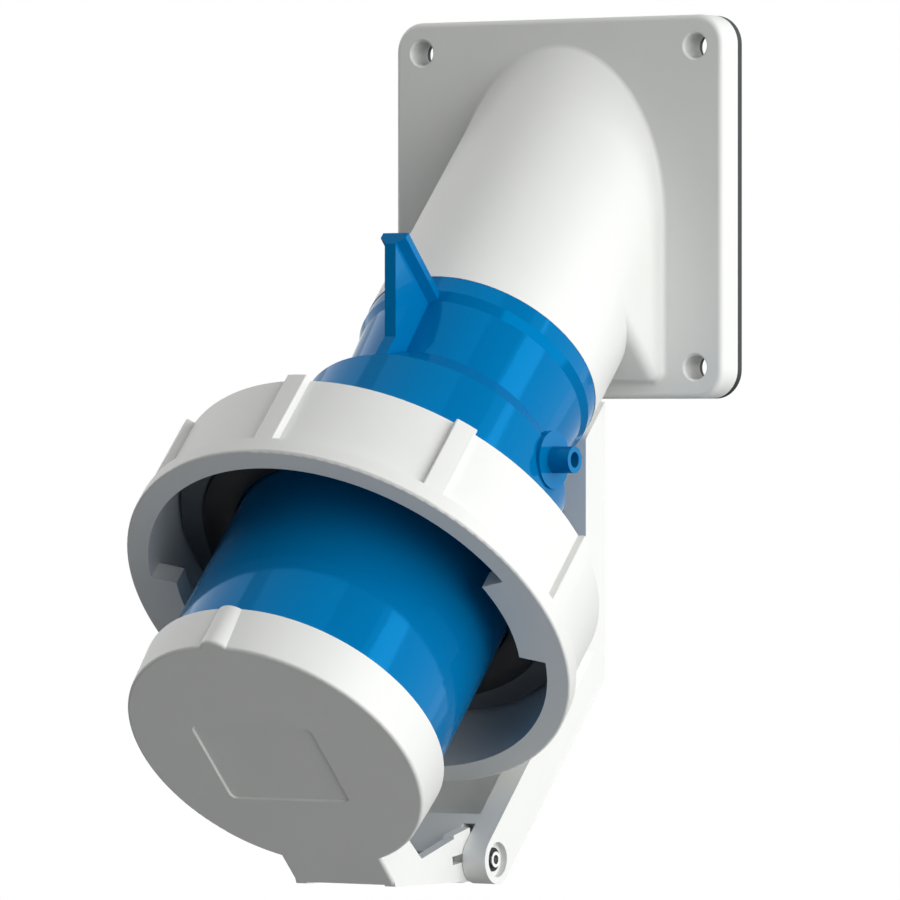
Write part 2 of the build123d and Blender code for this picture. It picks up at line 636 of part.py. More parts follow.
def locking_ring():
    """Turning ring with grip ribs outside, two bayonet lugs inside and a lip behind the flange."""
    ring = turned(
        (RING_LIP_R, RING_REAR_STATION),
        (RING_PANEL_R, RING_REAR_STATION),
        (RING_PANEL_R, RING_BAND_STATION),
        (RING_BAND_R, RING_BAND_STATION),
        (RING_BAND_R, RING_FRONT_STATION),
        (RING_BORE_R, RING_FRONT_STATION),
        (RING_BORE_R, RING_LIP_FRONT),
        (RING_LIP_R, RING_LIP_FRONT),
    )
    rib_shell = rod(RING_RIB_R, RING_REAR_STATION, RING_BAND_STATION)
    rib_shell -= rod(RING_PANEL_R - 1, RING_REAR_STATION - 1, RING_BAND_STATION + 1)
    for k in range(RIB_COUNT):
        slot = span((-RIB_W / 2, RIB_W / 2), (0, REACH), (0, REACH))
        ring += rib_shell & (Rot(0, 0, k * 360 / RIB_COUNT) * slot)
    panel_edge = RING_PANEL_R + RIB_H / 2
    along = ring.edges().filter_by(Axis.Z)
    corners = [edge for edge in along if abs(Vector(edge.center().X, edge.center().Y)) > panel_edge]
    ring = fillet(corners, RIB_EDGE_R)
    ring = fillet(ring.edges().group_by(Axis.Z)[-1].sort_by(SortBy.LENGTH)[-1], RING_EDGE_R)
    lug_shell = rod(RING_BORE_R + 1, RING_FRONT_STATION - LUG_T, RING_FRONT_STATION)
    lug_shell -= rod(LUG_R, 0, REACH)
    reach_x = REACH * sin(radians(LUG_SPAN / 2))
    reach_y = REACH * cos(radians(LUG_SPAN / 2))
    wedge = extrude(make_face(Polyline((0, 0), (reach_x, reach_y), (-reach_x, reach_y), close=True)), REACH)
    for angle in (90, -90):
        ring += lug_shell & (Rot(0, 0, angle) * wedge)
    return ring


def ring_gasket():
    """Washer that covers the flange, with a rounded lip for the collar of the mating connector."""
    inner = SLEEVE_R + RING_GASKET_GAP
    foot = inner + RING_GASKET_W
    outer = foot + RING_GASKET_LIP_W
    end = FLANGE_FRONT + RING_GASKET_T
    washer = turned((inner, FLANGE_FRONT), (foot + 0.5, FLANGE_FRONT), (foot + 0.5, end), (inner, end))
    rim = FLANGE_R - RING_GASKET_GAP
    rim_end = FLANGE_FRONT + RING_GASKET_RIM_T
    washer += turned((foot, FLANGE_FRONT), (rim, FLANGE_FRONT), (rim, rim_end), (foot, rim_end))
    lip_end = end + RING_GASKET_LIP_H
    lip = turned((foot, FLANGE_FRONT), (outer, FLANGE_FRONT), (outer, lip_end), (foot, lip_end))
    return washer + fillet(lip.edges().group_by(Axis.Z)[-1], RING_GASKET_LIP_W * 0.4)


def lid_ear(x0, x1):
    """One side plate of the lid's hinge lug, from the tab back to the hinge pin."""
    pin_h, pin_s = HINGE_H, HINGE_STATION
    top = -(LID_RIM_R - LID_WALL)
    ear = side_prism(
        [
            (top, LID_FACE_STATION - LID_T),
            (-TAB_BOTTOM, LID_FACE_STATION),
            (pin_h - EAR_BARREL_R * 0.7, pin_s + EAR_BARREL_R * 0.7),
            (pin_h, pin_s),
            (pin_h + EAR_TIP_RISE, pin_s - EAR_TIP_BACK),
            (pin_h + EAR_KNEE_RISE + EAR_KNEE_STEP, pin_s + EAR_KNEE_AHEAD - EAR_KNEE_STEP),
            (pin_h + EAR_KNEE_RISE, pin_s + EAR_KNEE_AHEAD),
            (-EAR_NECK_DROP, EAR_NECK_STATION),
            (top, EAR_NECK_STATION + 1),
        ],
        x0,
        x1,
    )
    ear += cross_rod(EAR_BARREL_R, x0, x1, pin_h, pin_s)
    ear -= cross_rod(HINGE_PIN_R + HINGE_RUNNING_FIT, x0 - 1, x1 + 1, pin_h, pin_s)
    slot_low = EAR_SLOT_OFFSET - EAR_SLOT_W / 2
    slot = span((x0 - 1, x1 + 1), (slot_low, slot_low + EAR_SLOT_W), (EAR_SLOT_IN, EAR_SLOT_OUT))
    return ear - Pos(0, pin_h, pin_s) * Rot(-EAR_SLOT_ANGLE, 0, 0) * slot


def lid():
    """Round lid with a skirt over the sleeve's end, a bump over the key, and a hinge lug below."""
    shell = turned(
        (0, LID_REAR_STATION),
        (LID_RIM_R, LID_REAR_STATION),
        (LID_R, LID_FACE_STATION),
        (0, LID_FACE_STATION),
    )
    bump_place = Pos(0, LID_BUMP_TOP - LID_BUMP_R, 0)
    bump = bump_place * rod(LID_BUMP_R, LID_REAR_STATION, LID_FACE_STATION)
    tab_sides = (-TAB_HALF_W, TAB_HALF_W)
    tab = span(tab_sides, (-TAB_BOTTOM, 0), (LID_BACK, LID_FACE_STATION))
    outside = Part()
    for piece in (shell, bump, tab):
        outside += fillet(piece.edges().group_by(Axis.Z)[-1], LID_EDGE_R)
    outside -= rod(LID_BORE_R, 0, LID_BACK)
    outside -= bump_place * rod(LID_BUMP_R - LID_WALL, 0, LID_BACK)
    rib_out = LID_BORE_R - LID_SEAL_SIDE_GAP - LID_SEAL_W - LID_SEAL_SIDE_GAP
    outside += rod(rib_out, LID_BACK - LID_RIB_H, LID_BACK + 0.5) - rod(rib_out - LID_RIB_T, 0, LID_BACK)
    label = Pos(LABEL_X, LABEL_Y) * RectangleRounded(LABEL_W, LABEL_H, LABEL_CORNER_R)
    outside -= Pos(0, 0, LID_FACE_STATION - LABEL_DEPTH) * extrude(label, amount=LID_T, taper=-LABEL_DRAFT)
    outside += lid_ear(EAR_IN_X, EAR_OUT_X)
    outside += lid_ear(-EAR_OUT_X, -EAR_IN_X)
    return outside


def lid_seal():
    """Soft ring inside the lid that meets the end of the sleeve."""
    outer = LID_BORE_R - LID_SEAL_SIDE_GAP
    inner = outer - LID_SEAL_W
    start = LID_BACK - LID_SEAL_T
    return turned((inner, start), (outer, start), (outer, LID_BACK), (inner, LID_BACK))


def bracket_outline(back_inset, drop_inset):
    """Corner points of the bracket's back: where it starts, bends and meets the arm's underside."""
    step = LEG_BACK_OFFSET + back_inset / cos(radians(TILT))
    underside = ARM_TOP_DROP + ARM_T - drop_inset
    start_drop = TUBE_R - 2 * TUBE_WALL
    return [(-start_drop, step + start_drop), (-underside, step + underside)]


def lid_bracket():
    """Bracket from the elbow's underside down behind the body and out under the ring to the hinge."""
    underside = -(ARM_TOP_DROP + ARM_T)
    back = bracket_outline(0, 0)
    front = bracket_outline(BRACKET_DEPTH, ARM_T)
    bracket = side_prism(
        [*back, (underside, HINGE_STATION), (-ARM_TOP_DROP, HINGE_STATION), front[1], front[0]],
        -BRACKET_HALF_W,
        BRACKET_HALF_W,
    )
    bracket += cross_rod(ARM_T / 2, -BRACKET_HALF_W, BRACKET_HALF_W, HINGE_H, HINGE_STATION)
    floor = bracket_outline(BRACKET_FLOOR_T, BRACKET_FLOOR_T)
    above = -TUBE_R / 2
    bracket -= side_prism(
        [
            floor[0],
            floor[1],
            (underside + BRACKET_FLOOR_T, ARM_HEAD_STATION),
            (above, ARM_HEAD_STATION),
            (above, floor[0][1]),
        ],
        -LEG_IN_X,
        LEG_IN_X,
    )
    saddle = span(
        (-LEG_IN_X, LEG_IN_X), (-SADDLE_DROP, -TUBE_R / 2), (SADDLE_START, TUBE_END - SADDLE_GAP)
    )
    bracket += saddle
    bracket -= rod(TUBE_R + SADDLE_GAP, 0, FLANGE_STATION)

    ear_reach = ((EAR_TIP_BACK**2 + EAR_TIP_RISE**2) ** 0.5) + EAR_SWING_GAP
    for x in (LEG_IN_X, -KNUCKLE_X):
        notch = (x - (LEG_IN_X - KNUCKLE_X), x)
        bracket -= span(notch, (HINGE_H - ARM_T, HINGE_H + ARM_T), (HINGE_STATION, HINGE_STATION + ARM_T))
        bracket -= cross_rod(ear_reach, *notch, HINGE_H, HINGE_STATION)
    bracket -= cross_rod(SPRING_POCKET_R, -SPRING_POCKET_X, SPRING_POCKET_X, HINGE_H, HINGE_STATION)
    tail_top = HINGE_H - SPRING_COIL_R + SPRING_WIRE_R + SPRING_TAIL_GAP
    pocket_mouth = side_prism(
        [
            (HINGE_H, HINGE_STATION),
            (HINGE_H + ARM_T, HINGE_STATION + ARM_T / 2),
            (HINGE_H + ARM_T, HINGE_STATION + 2 * ARM_T),
            (HINGE_H - ARM_T, HINGE_STATION + 2 * ARM_T),
            (HINGE_H - ARM_T, HINGE_STATION - SPRING_TAIL_L),
            (tail_top, HINGE_STATION - SPRING_TAIL_L),
            (tail_top, HINGE_STATION),
        ],
        -SPRING_POCKET_X,
        SPRING_POCKET_X,
    )
    bracket -= pocket_mouth
    bracket -= cross_rod(HINGE_PIN_R + HINGE_PIN_FIT, -REACH, REACH, HINGE_H, HINGE_STATION)
    for side in (-1, 1):
        x0, x1 = sorted((side * CLIP_SEAT_X, side * (BRACKET_HALF_W + 1)))
        bracket -= cross_rod(COUNTERBORE_R, x0, x1, HINGE_H, HINGE_STATION)
    for x in bracket_screw_places():
        hole_r = BRACKET_SCREW_R + BRACKET_SCREW_SLACK
        bracket -= up_rod(hole_r, x, -SADDLE_DROP - 1, 0, BRACKET_SCREW_STATION)
    return bracket


def bracket_screws():
    """Two screws through the saddle and the tube into the shroud's spigot."""
    screws = []
    for x in bracket_screw_places():
        seat = -SADDLE_DROP
        screw = up_rod(BRACKET_SCREW_R, x, seat, seat + BRACKET_SCREW_L, BRACKET_SCREW_STATION)
        head = seat - BRACKET_SCREW_HEAD_T
        screw += up_rod(BRACKET_SCREW_HEAD_R, x, head, seat, BRACKET_SCREW_STATION)
        slot_s = (BRACKET_SCREW_STATION - SLOT_W / 2, BRACKET_SCREW_STATION + SLOT_W / 2)
        screw -= span((-REACH, REACH), (head - 1, head + SLOT_DEPTH), slot_s)
        screws.append(screw)
    return Compound(children=screws)


def hinge_pin():
    """Steel pin through the bracket's legs and the lid's ears, with a neck and a dimple at each end."""
    pin = cross_rod(HINGE_PIN_R, -CLIP_SEAT_X, CLIP_SEAT_X, HINGE_H, HINGE_STATION)
    pin += cross_rod(HINGE_PIN_NECK_R, -HINGE_PIN_END, HINGE_PIN_END, HINGE_H, HINGE_STATION)
    for side in (-1, 1):
        x0, x1 = sorted((side * (HINGE_PIN_END - HINGE_PIN_DIMPLE_L), side * (HINGE_PIN_END + 1)))
        pin -= cross_rod(HINGE_PIN_DIMPLE_R, x0, x1, HINGE_H, HINGE_STATION)
    return pin


def hinge_clips():
    """Push-on washers on the pin's necks, at the bottom of the counterbores."""
    clips = []
    for side in (-1, 1):
        x0, x1 = sorted((side * CLIP_SEAT_X, side * (CLIP_SEAT_X + CLIP_T)))
        clip = cross_rod(CLIP_R, x0, x1, HINGE_H, HINGE_STATION)
        bore_r = HINGE_PIN_NECK_R + HINGE_PIN_FIT
        clips.append(clip - cross_rod(bore_r, x0 - 1, x1 + 1, HINGE_H, HINGE_STATION))
    return Compound(children=clips)


def lid_spring():
    """Torsion spring: close coils round the pin, a tail under the knuckle and a leg in the ear's slot."""
    coils = Sketch()
    for k in range(SPRING_TURNS):
        along = (k - (SPRING_TURNS - 1) / 2) * 2 * SPRING_WIRE_R * 0.97
        coils += Pos(SPRING_COIL_R, along) * Circle(SPRING_WIRE_R)
    coil = revolve(Plane.XZ * coils, Axis.Z)
    spring = Pos(0, HINGE_H, HINGE_STATION) * Rot(0, 90, 0) * coil

    end_x = SPRING_HALF_L - SPRING_WIRE_R * 1.3
    up = Pos(0, HINGE_H, HINGE_STATION) * Rot(-EAR_SLOT_ANGLE, 0, 0) * Pos(0, EAR_SLOT_OFFSET, 0)
    leg_start = (SPRING_COIL_R**2 - EAR_SLOT_OFFSET**2) ** 0.5
    spring += up * (Pos(end_x, 0, 0) * rod(SPRING_WIRE_R, leg_start, SPRING_LEG_R))
    spring += up * cross_rod(SPRING_WIRE_R, end_x, EAR_OUT_X - SPRING_LEG_INSET, 0, SPRING_LEG_R)
    spring += up * (Pos(end_x, 0, SPRING_LEG_R) * Sphere(SPRING_WIRE_R))
    tail_h = HINGE_H - SPRING_COIL_R
    spring += Pos(-end_x, tail_h, 0) * rod(SPRING_WIRE_R, HINGE_STATION - SPRING_TAIL_L + 1, HINGE_STATION)
    return spring


def build_parts():
    """Every piece in the world frame, by node name."""
    parts = {"flange_gasket": flange_gasket(), "elbow_housing": elbow_housing()}
    in_sleeve = {
        "shroud_body": shroud_body(),
        "inlet_sleeve": inlet_sleeve(),
        "body_o_ring": body_o_ring(),
        "contact_carrier": contact_carrier(),
        "carrier_screws": carrier_screws(),
        "terminal_screws": terminal_screws(),
        "locking_ring": locking_ring(),
        "ring_gasket": ring_gasket(),
        "lid": lid(),
        "lid_seal": lid_seal(),
        "lid_bracket": lid_bracket(),
        "bracket_screws": bracket_screws(),
        "hinge_pin": hinge_pin(),
        "hinge_clips": hinge_clips(),
        "lid_spring": lid_spring(),
    }
    names = ["earth_pin", "neutral_pin", "phase_pin_1", "phase_pin_2", "phase_pin_3"]
    for k, (name, angle) in enumerate(zip(names, pin_angles())):
        radius = EARTH_PIN_R if k == 0 else PIN_R
        length = EARTH_PIN_L if k == 0 else PIN_L
        in_sleeve[name] = contact_pin(angle, radius, length)
    for name, shape in in_sleeve.items():
        parts[name] = in_world(shape)
    return parts


def write_parts():
    """Writes each piece to its own STEP file."""
    os.makedirs("parts", exist_ok=True)
    for name, shape in build_parts().items():
        export_step(shape, f"parts/{name}.step")


write_parts()
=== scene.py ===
import math

import bpy
from mathutils import Matrix, Vector


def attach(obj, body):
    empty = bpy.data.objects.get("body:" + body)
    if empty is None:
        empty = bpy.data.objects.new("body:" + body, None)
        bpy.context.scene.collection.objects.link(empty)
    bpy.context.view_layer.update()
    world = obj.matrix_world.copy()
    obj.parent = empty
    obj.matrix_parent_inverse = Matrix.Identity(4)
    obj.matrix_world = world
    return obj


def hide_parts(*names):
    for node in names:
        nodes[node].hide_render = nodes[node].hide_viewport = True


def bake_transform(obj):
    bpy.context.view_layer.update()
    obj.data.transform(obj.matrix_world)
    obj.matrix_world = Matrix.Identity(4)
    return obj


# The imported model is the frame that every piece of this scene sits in.
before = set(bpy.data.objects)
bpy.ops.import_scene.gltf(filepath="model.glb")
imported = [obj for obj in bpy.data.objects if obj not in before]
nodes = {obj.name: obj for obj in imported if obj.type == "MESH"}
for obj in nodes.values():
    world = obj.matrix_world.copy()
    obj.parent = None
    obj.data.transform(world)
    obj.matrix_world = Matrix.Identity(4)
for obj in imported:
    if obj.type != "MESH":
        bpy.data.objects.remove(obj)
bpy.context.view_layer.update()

# Camera
# A long lens to the right of the inlet and level with it, turned towards the wall. Its distance and
# focal length make the plate's edges converge as little as they do in the photograph.
camera_data = bpy.data.cameras.new("studio_camera")
camera_data.sensor_width = 36.0
camera_data.lens = 308.99
camera_data.clip_end = 50.0
camera = bpy.data.objects.new("studio_camera", camera_data)
bpy.context.scene.collection.objects.link(camera)
bpy.context.scene.camera = camera
yaw = math.radians(31.693)
pitch = math.radians(-0.227)
looking = Vector((-math.sin(yaw) * math.cos(pitch), math.cos(yaw) * math.cos(pitch), math.sin(pitch)))
across = Vector((math.cos(yaw), math.sin(yaw), 0.0))
upward = across.cross(looking)
stand = Vector((0.96005, -1.61363, -0.05098))
camera.matrix_world = Matrix.Translation(stand) @ Matrix((across, upward, -looking)).transposed().to_4x4()


# Studio
# A white surround that the camera, gloss and glass see at full white and that lights the object only
# weakly, one large soft box at the right, weaker ones behind it, at the left and above, and a floor.
def linear(code):
    """Turns an sRGB hex code into the linear colour that Blender works in."""
    parts = [int(code[i:i + 2], 16) / 255 for i in (1, 3, 5)]
    return [c / 12.92 if c <= 0.04045 else ((c + 0.055) / 1.055) ** 2.4 for c in parts] + [1.0]


def add_node(tree, kind, settings=None, links=None):
    """Adds a node, sets its properties and sockets, and links its inputs from other sockets."""
    node = tree.nodes.new(kind)
    for name, value in (settings or {}).items():
        if isinstance(name, int) or name in node.inputs:
            node.inputs[name].default_value = value
        else:
            setattr(node, name, value)
    for name, socket in (links or {}).items():
        tree.links.new(socket, node.inputs[name])
    return node


bpy.context.scene.view_settings.view_transform = "Standard"
surround = bpy.data.worlds.new("studio_surround")
surround.use_nodes = True
bpy.context.scene.world = surround
tree = surround.node_tree
tree.nodes.clear()
rays = add_node(tree, "ShaderNodeLightPath")
mirrored = add_node(
    tree,
    "ShaderNodeMath",
    {"operation": "MAXIMUM"},
    {0: rays.outputs["Is Camera Ray"], 1: rays.outputs["Is Glossy Ray"]},
)
seen = add_node(
    tree,
    "ShaderNodeMath",
    {"operation": "MAXIMUM"},
    {0: mirrored.outputs[0], 1: rays.outputs["Is Transmission Ray"]},
)
soft = add_node(tree, "ShaderNodeBackground", {"Color": linear("#F4F7FA"), "Strength": 0.09})
white = add_node(tree, "ShaderNodeBackground", {"Color": linear("#FFFFFF"), "Strength": 1.0})
shown = add_node(
    tree,
    "ShaderNodeMixShader",
    {},
    {0: seen.outputs[0], 1: soft.outputs[0], 2: white.outputs[0]},
)
add_node(tree, "ShaderNodeOutputWorld", {}, {"Surface": shown.outputs[0]})

middle = Vector((0.0, -0.07, -0.06))
for name, direction, distance, size, power in (
    ("right_soft_box", (0.97, -0.19, 0.11), 1.7, 2.2, 48.0),
    ("rear_soft_box", (0.75, 0.6, 0.3), 1.7, 1.8, 10.0),
    ("left_soft_box", (-0.88, 0.08, 0.47), 1.7, 1.6, 9.0),
    ("top_soft_box", (0.0, -0.3, 0.95), 1.7, 1.6, 7.0),
):
    lamp_data = bpy.data.lights.new(name, "AREA")
    lamp_data.size = size
    lamp_data.energy = power
    lamp = bpy.data.objects.new(name, lamp_data)
    bpy.context.scene.collection.objects.link(lamp)
    away = Vector(direction).normalized()
    lamp.location = middle + away * distance
    lamp.rotation_euler = (-away).to_track_quat("-Z", "Y").to_euler()

bpy.ops.object.select_all(action="DESELECT")
bpy.ops.mesh.primitive_plane_add(size=4.0, location=(0.0, 0.0, -0.45))
floor = bpy.context.object
floor.name = "studio_floor"
# Matt floor paint: pale to the eye, with a faint glow that only the eye sees and that keeps the far
# floor pale, and a mid grey for the light that it throws back at the object.
paint = bpy.data.materials.new("pale_floor_paint")
paint.use_nodes = True
tree = paint.node_tree
tree.nodes["Principled BSDF"].inputs["Roughness"].default_value = 0.7
rays = add_node(tree, "ShaderNodeLightPath")
colour = add_node(
    tree,
    "ShaderNodeMix",
    {"data_type": "RGBA", 6: linear("#999A9B"), 7: linear("#C8C9C8")},
    {0: rays.outputs["Is Camera Ray"]},
)
tree.links.new(colour.outputs[2], tree.nodes["Principled BSDF"].inputs["Base Color"])
glow = add_node(
    tree,
    "ShaderNodeMath",
    {"operation": "MULTIPLY", 1: 0.55},
    {0: rays.outputs["Is Camera Ray"]},
)
tree.nodes["Principled BSDF"].inputs["Emission Color"].default_value = linear("#FFFFFF")
tree.links.new(glow.outputs[0], tree.nodes["Principled BSDF"].inputs["Emission Strength"])
floor.data.materials.append(paint)


# Flange gasket
# A flat seal between the wall plate and the wall, punched from a sheet of black cellular rubber. Its
# skin is dull, a little dusty, and pitted where the cells break through.
def dress(name, material):
    """Gives every material slot of a CAD node the same material."""
    for slot in nodes[name].material_slots:
        slot.material = material


# Punched sheet rubber: nearly black, with a broad dull sheen and a mottled bloom a few mm across.
sheet_rubber = bpy.data.materials.new("cellular_sheet_rubber")
sheet_rubber.use_nodes = True
tree = sheet_rubber.node_tree
shader = tree.nodes["Principled BSDF"]
shader.inputs["IOR"].default_value = 1.5
place = add_node(tree, "ShaderNodeTexCoord")
bloom = add_node(
    tree, "ShaderNodeTexNoise", {"Scale": 1000 / 4.0, "Detail": 4.0}, {"Vector": place.outputs["Object"]}
)
tone = add_node(
    tree,
    "ShaderNodeMix",
    {"data_type": "RGBA", 6: linear("#17191B"), 7: linear("#262A2D")},
    {0: bloom.outputs["Fac"]},
)
dull = add_node(tree, "ShaderNodeMapRange", {"To Min": 0.55, "To Max": 0.75}, {"Value": bloom.outputs["Fac"]})
cells = add_node(
    tree, "ShaderNodeTexVoronoi", {"Scale": 1000 / 0.6}, {"Vector": place.outputs["Object"]}
)
pits = add_node(
    tree, "ShaderNodeBump", {"Strength": 0.5, "Distance": 0.00005}, {"Height": cells.outputs["Distance"]}
)
tree.links.new(tone.outputs[2], shader.inputs["Base Color"])
tree.links.new(dull.outputs["Result"], shader.inputs["Roughness"])
tree.links.new(pits.outputs["Normal"], shader.inputs["Normal"])
dress("flange_gasket", sheet_rubber)

# Elbow housing
# Wall plate, tube and block in one injection moulding of pale grey polyamide. The tool is finely
# spark eroded, so the skin is satin with a grain of about half a millimetre and no gloss.
# Moulded polyamide: an even pale grey, faintly cloudy along the flow, with a soft satin sheen.
pale_polyamide = bpy.data.materials.new("moulded_pale_polyamide")
pale_polyamide.use_nodes = True
tree = pale_polyamide.node_tree
shader = tree.nodes["Principled BSDF"]
shader.inputs["IOR"].default_value = 1.45
place = add_node(tree, "ShaderNodeTexCoord")
along = add_node(
    tree, "ShaderNodeMapping", {"Rotation": (math.radians(45), 0, 0), "Scale": (1, 1, 0.3)},
    {"Vector": place.outputs["Object"]},
)
flow = add_node(
    tree, "ShaderNodeTexNoise", {"Scale": 1000 / 16, "Detail": 3.0}, {"Vector": along.outputs["Vector"]}
)
tone = add_node(
    tree,
    "ShaderNodeMix",
    {"data_type": "RGBA", 6: linear("#DCDDDA"), 7: linear("#E1E2DF")},
    {0: flow.outputs["Fac"]},
)
satin = add_node(tree, "ShaderNodeMapRange", {"To Min": 0.4, "To Max": 0.52}, {"Value": flow.outputs["Fac"]})
grain = add_node(
    tree, "ShaderNodeTexNoise", {"Scale": 1000 / 0.5, "Detail": 2.0}, {"Vector": place.outputs["Object"]}
)
erosion = add_node(
    tree, "ShaderNodeBump", {"Strength": 0.4, "Distance": 0.00002}, {"Height": grain.outputs["Fac"]}
)
tree.links.new(tone.outputs[2], shader.inputs["Base Color"])
tree.links.new(satin.outputs["Result"], shader.inputs["Roughness"])
tree.links.new(erosion.outputs["Normal"], shader.inputs["Normal"])
grain_name = grain.name
satin_name = satin.name
dress("elbow_housing", pale_polyamide)

# Seals of the body and the lid
# The O-ring in the spigot's groove and the ring inside the lid are compression moulded in solid
# rubber, smoother than the flange gasket and a shade darker. The face gasket below shares it.
# Moulded rubber: deep grey-black with a soft sheen, and a fine grain left by a blasted tool.
seal_rubber = bpy.data.materials.new("moulded_seal_rubber")
seal_rubber.use_nodes = True
tree = seal_rubber.node_tree
shader = tree.nodes["Principled BSDF"]
shader.inputs["IOR"].default_value = 1.5
place = add_node(tree, "ShaderNodeTexCoord")
bloom = add_node(
    tree, "ShaderNodeTexNoise", {"Scale": 1000 / 6.0, "Detail": 3.0}, {"Vector": place.outputs["Object"]}
)
tone = add_node(
    tree,
    "ShaderNodeMix",
    {"data_type": "RGBA", 6: linear("#141617"), 7: linear("#202426")},
    {0: bloom.outputs["Fac"]},
)
dull = add_node(tree, "ShaderNodeMapRange", {"To Min": 0.42, "To Max": 0.6}, {"Value": bloom.outputs["Fac"]})
grain = add_node(
    tree, "ShaderNodeTexNoise", {"Scale": 1000 / 0.3, "Detail": 2.0}, {"Vector": place.outputs["Object"]}
)
blasted = add_node(
    tree, "ShaderNodeBump", {"Strength": 0.4, "Distance": 0.00002}, {"Height": grain.outputs["Fac"]}
)
tree.links.new(tone.outputs[2], shader.inputs["Base Color"])
tree.links.new(dull.outputs["Result"], shader.inputs["Roughness"])
tree.links.new(blasted.outputs["Normal"], shader.inputs["Normal"])
for name in ("body_o_ring", "lid_seal"):
    dress(name, seal_rubber)

# Face gasket and slide washer
# A flat black rubber washer seals against the mating collar. Round it lies a slide washer of grey
# acetal, beside which the ring turns. Both rest on the sleeve's flange, and the gasket's rounded
# corners keep its edge from catching.
slant = math.sqrt(0.5)
sleeve_axes = Matrix(((1, 0, 0), (0, -slant, -slant), (0, slant, -slant))).to_4x4()
sleeve_place = Matrix.Translation((0, -0.0095, -0.0025)) @ sleeve_axes


def turn_on_lathe(name, outline, sides):
    """Turns a closed outline of (radius, height) points in mm about Z and puts it on the sleeve's axis."""
    bpy.ops.object.select_all(action="DESELECT")
    radius, height = outline[0]
    bpy.ops.mesh.primitive_circle_add(vertices=sides, radius=radius / 1000, fill_type="NOTHING")
    piece = bpy.context.object
    piece.name = name
    bpy.ops.object.mode_set(mode="EDIT")
    bpy.ops.mesh.select_all(action="SELECT")
    bpy.ops.transform.translate(value=(0, 0, height / 1000))
    for next_radius, next_height in outline[1:] + outline[:1]:
        bpy.ops.mesh.extrude_region_move(
            TRANSFORM_OT_translate={"value": (0, 0, (next_height - height) / 1000)}
        )
        grow = next_radius / radius
        bpy.ops.transform.resize(value=(grow, grow, 1), center_override=(0, 0, 0))
        radius, height = next_radius, next_height
    bpy.ops.mesh.select_all(action="SELECT")
    bpy.ops.mesh.remove_doubles(threshold=0.000002)
    bpy.ops.mesh.normals_make_consistent(inside=False)
    bpy.ops.object.mode_set(mode="OBJECT")
    bpy.ops.object.shade_smooth_by_angle(angle=math.radians(30))
    piece.matrix_world = sleeve_place
    bpy.ops.object.transform_apply(location=True, rotation=True, scale=True)
    return piece


lathe_sides = 160
flange_front = 115.5
gasket_inner = 34.7
gasket_outer = 42.9
gasket_top = flange_front + 3.2
corner_r = 0.5
corner_cut = 0.15
face_gasket = turn_on_lathe(
    "ring_face_gasket",
    [
        (gasket_inner, flange_front),
        (gasket_outer, flange_front),
        (gasket_outer, gasket_top - corner_r),
        (gasket_outer - corner_cut, gasket_top - corner_cut),
        (gasket_outer - corner_r, gasket_top),
        (gasket_inner + corner_r, gasket_top),
        (gasket_inner + corner_cut, gasket_top - corner_cut),
        (gasket_inner, gasket_top - corner_r),
    ],
    lathe_sides,
)
face_gasket.data.materials.append(seal_rubber)
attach(face_gasket, "root")
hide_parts("ring_gasket")
# Grey acetal: a smooth, slightly waxy mid grey faintly mottled, with a soft sheen.
grey_acetal = bpy.data.materials.new("grey_acetal")
grey_acetal.use_nodes = True
tree = grey_acetal.node_tree
shader = tree.nodes["Principled BSDF"]
shader.inputs["IOR"].default_value = 1.48
place = add_node(tree, "ShaderNodeTexCoord")
wax = add_node(
    tree, "ShaderNodeTexNoise", {"Scale": 1000 / 3.0, "Detail": 3.0}, {"Vector": place.outputs["Object"]}
)
tone = add_node(
    tree,
    "ShaderNodeMix",
    {"data_type": "RGBA", 6: linear("#55595C"), 7: linear("#606467")},
    {0: wax.outputs["Fac"]},
)
waxy = add_node(tree, "ShaderNodeMapRange", {"To Min": 0.36, "To Max": 0.5}, {"Value": wax.outputs["Fac"]})
faint = add_node(
    tree, "ShaderNodeBump", {"Strength": 0.3, "Distance": 0.00001}, {"Height": wax.outputs["Fac"]}
)
tree.links.new(tone.outputs[2], shader.inputs["Base Color"])
tree.links.new(waxy.outputs["Result"], shader.inputs["Roughness"])
tree.links.new(faint.outputs["Normal"], shader.inputs["Normal"])
washer_inner = 43.2
washer_outer = 49.0
washer_top = flange_front + 1.8
chamfer = 0.3
slide_washer = turn_on_lathe(
    "ring_slide_washer",
    [
        (washer_inner, flange_front),
        (washer_outer, flange_front),
        (washer_outer, washer_top - chamfer),
        (washer_outer - chamfer, washer_top),
        (washer_inner + chamfer, washer_top),
        (washer_inner, washer_top - chamfer),
    ],
    lathe_sides,
)
slide_washer.data.materials.append(grey_acetal)
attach(slide_washer, "root")

# Shroud body and inlet sleeve
# The collar with its catch and posts, and the sleeve round the pins, are injection moulded in blue
# polyamide in a polished tool, so they mirror the soft boxes with straight, soft edges.
# Polished blue polyamide: saturated blue to its depth, with a thin gloss and a faint orange peel.
blue_polyamide = bpy.data.materials.new("polished_blue_polyamide")
blue_polyamide.use_nodes = True
tree = blue_polyamide.node_tree
shader = tree.nodes["Principled BSDF"]
shader.inputs["Metallic"].default_value = 0.1
shader.inputs["IOR"].default_value = 1.36
shader.inputs["Specular IOR Level"].default_value = 0.12
shader.inputs["Specular Tint"].default_value = linear("#00D8FF")
place = add_node(tree, "ShaderNodeTexCoord")
flow = add_node(
    tree, "ShaderNodeTexNoise", {"Scale": 1000 / 20, "Detail": 3.0}, {"Vector": place.outputs["Object"]}
)
tone = add_node(
    tree,
    "ShaderNodeMix",
    {"data_type": "RGBA", 6: linear("#006BA4"), 7: linear("#006FA9")},
    {0: flow.outputs["Fac"]},
)
